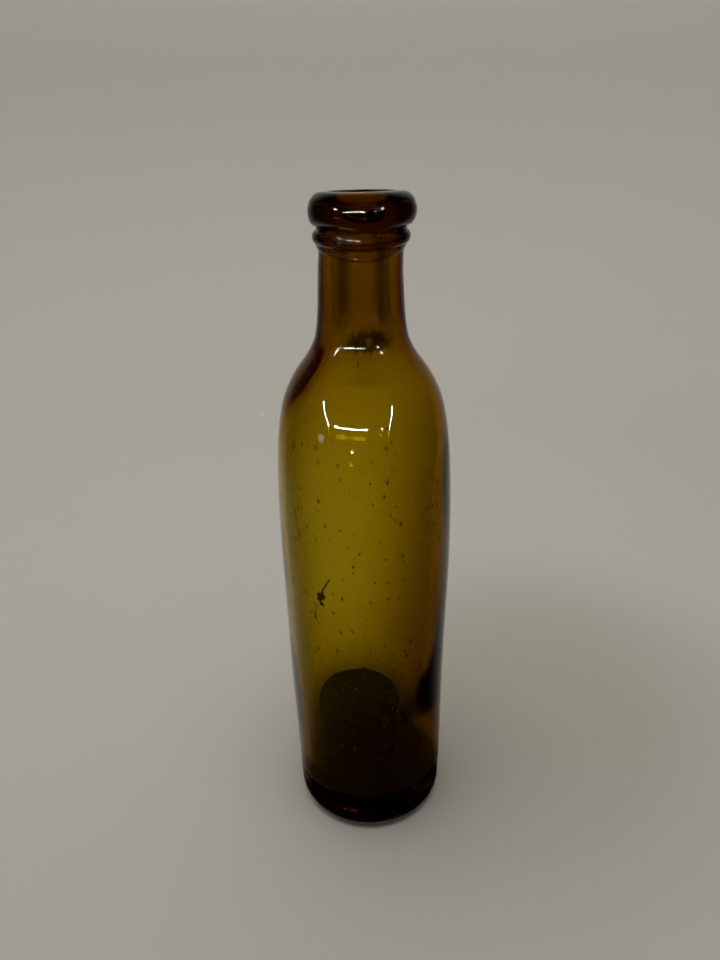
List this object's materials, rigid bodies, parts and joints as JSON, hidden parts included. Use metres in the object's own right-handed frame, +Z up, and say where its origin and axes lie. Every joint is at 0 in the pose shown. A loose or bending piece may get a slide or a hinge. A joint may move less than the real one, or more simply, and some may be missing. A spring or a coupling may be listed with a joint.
{
  "type": "glass bottle",
  "caption": "Small mouth-blown olive-amber glass bottle: slim round body, sloping shoulder, straight neck, applied double-ring lip and deep kick-up base, open at the mouth.",
  "frame": {"origin": "on the bottle's axis, in the plane of the flat ring that it stands on", "axes": "+Z up along the axis towards the mouth; +X and +Y are free, because the bottle is round"},
  "size_m": [0.0558, 0.0558, 0.214],
  "materials": {
    "body_glass": "clear olive-amber glass, glossy, seedy, lightly worn",
    "lip_glass": "thick deep-amber glass, glossy, tooled",
    "string_glass": "deep-amber glass trail, glossy, tooled"
  },
  "bodies": {
    "root": {"blown_body": "body_glass", "lip_ring": "lip_glass", "string_ring": "string_glass"}
  },
  "joints": []
}
